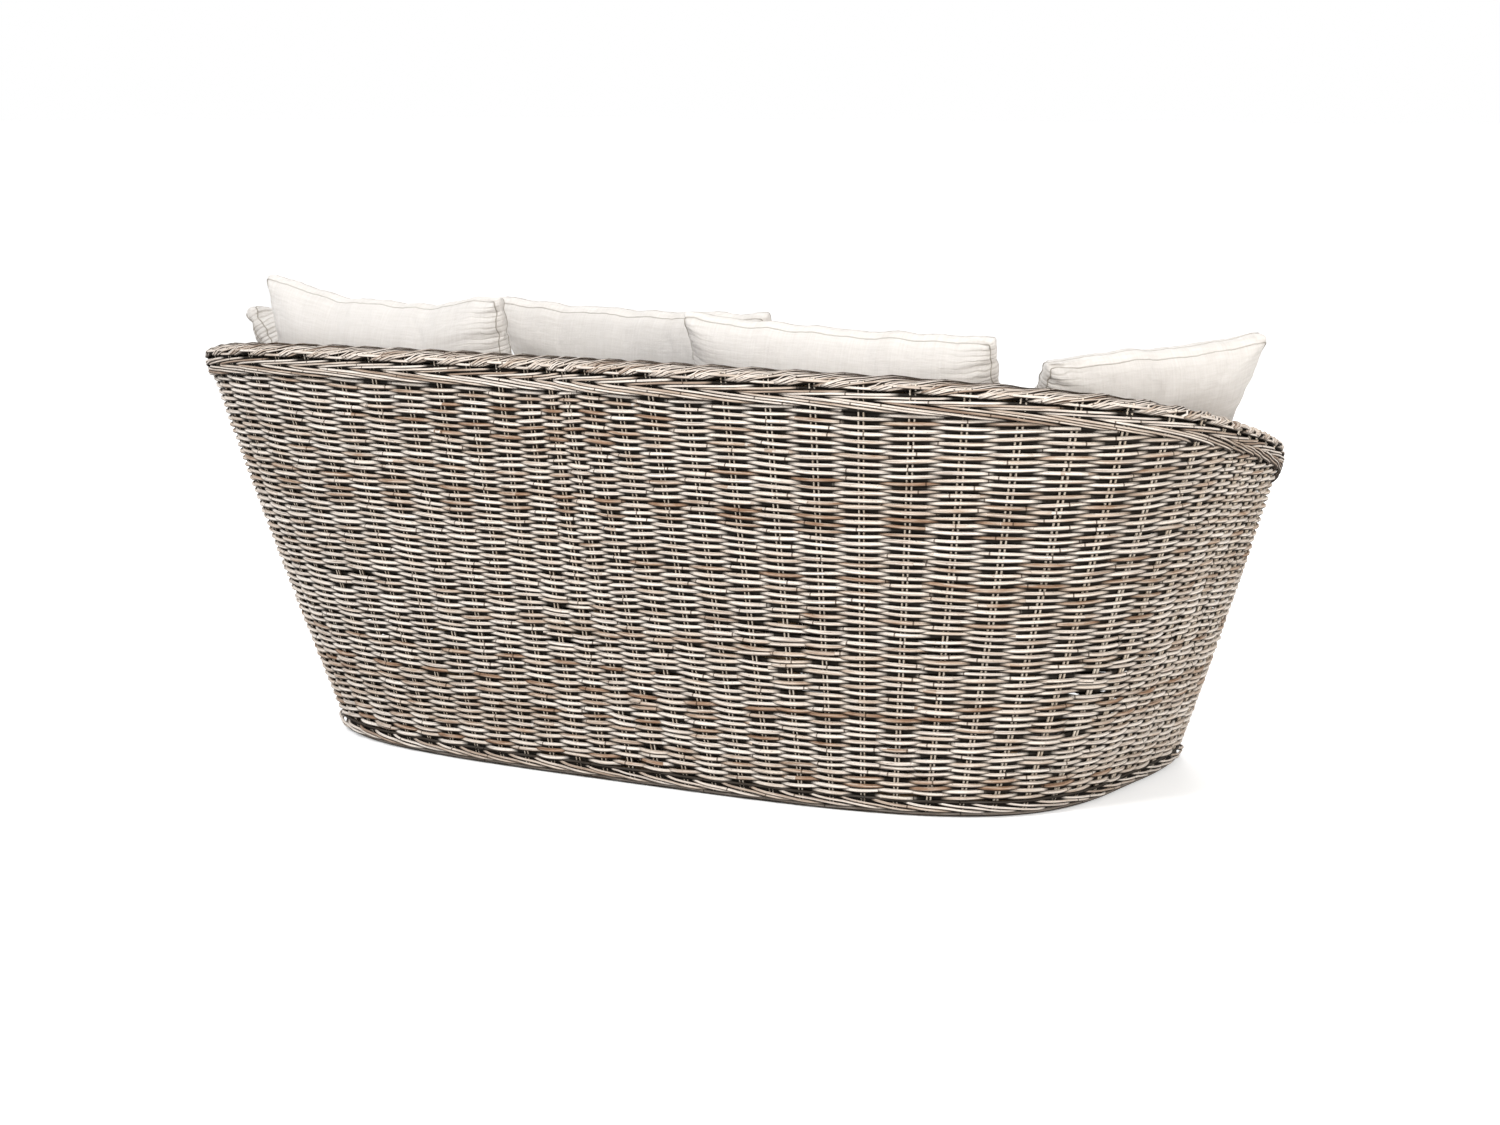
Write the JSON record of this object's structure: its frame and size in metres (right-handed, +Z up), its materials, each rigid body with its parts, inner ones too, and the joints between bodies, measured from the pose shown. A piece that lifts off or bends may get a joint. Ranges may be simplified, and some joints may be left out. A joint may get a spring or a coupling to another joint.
{
  "type": "rattan garden daybed",
  "caption": "Woven rattan daybed: a flared oval tub with a high back, a low front and a rolled rim, on a pole frame with a slatted deck, a seat cushion and loose linen cushions.",
  "frame": {"origin": "on the floor, in the middle of the rim's overall length and depth", "axes": "+X along the length, +Y from the low front towards the high back, +Z up"},
  "size_m": [1.9225, 0.9956, 0.783],
  "materials": {
    "pole_rattan": "debarked pole rattan, satin",
    "slat_wood": "planed hardwood, oiled",
    "screw_steel": "zinc plated",
    "glide_plastic": "moulded, matte",
    "stake_cane": "round cane, natural",
    "woven_cane": "natural cane strands, cream to brown, matt",
    "border_cane": "natural cane strands, browner, matt",
    "seat_linen": "ecru linen",
    "loose_linen": "ecru linen"
  },
  "bodies": {
    "tub": {"foot_hoop": "pole_rattan", "seat_hoop": "pole_rattan", "rim_hoop": "pole_rattan", "back_posts": "pole_rattan", "end_posts": "pole_rattan", "front_posts": "pole_rattan", "centre_legs": "pole_rattan", "seat_bearers": "pole_rattan", "seat_slats": "slat_wood", "slat_screws": "screw_steel", "glides": "glide_plastic", "stakes": "stake_cane", "lining_stakes": "stake_cane", "outer_weave": "woven_cane", "lining_weave": "woven_cane", "foot_border": "border_cane", "rim_wale": "border_cane", "rim_roll": "border_cane"},
    "seat_body": {"seat_cushion": "seat_linen"},
    "far_end_body": {"far_end_cushion": "loose_linen"},
    "far_back_body": {"far_back_cushion": "loose_linen"},
    "middle_back_body": {"middle_back_cushion": "loose_linen"},
    "near_back_body": {"near_back_cushion": "loose_linen"},
    "near_end_body": {"near_end_cushion": "loose_linen"}
  },
  "joints": [
    {"name": "seat_cushion_lift", "type": "slide", "parent": "tub", "child": "seat_body", "axis": [0, 0, 1], "range_m": [0, 0.5]},
    {"name": "far_end_cushion_lift", "type": "slide", "parent": "seat_body", "child": "far_end_body", "axis": [0, 0, 1], "range_m": [0, 0.45]},
    {"name": "far_back_cushion_lift", "type": "slide", "parent": "seat_body", "child": "far_back_body", "axis": [0, 0, 1], "range_m": [0, 0.45]},
    {"name": "middle_back_cushion_lift", "type": "slide", "parent": "seat_body", "child": "middle_back_body", "axis": [0, 0, 1], "range_m": [0, 0.45]},
    {"name": "near_back_cushion_lift", "type": "slide", "parent": "seat_body", "child": "near_back_body", "axis": [-0.0107, 0.2922, 0.9563], "range_m": [0, 0.45]},
    {"name": "near_end_cushion_lift", "type": "slide", "parent": "seat_body", "child": "near_end_body", "axis": [0, 0, 1], "range_m": [0, 0.45]}
  ]
}
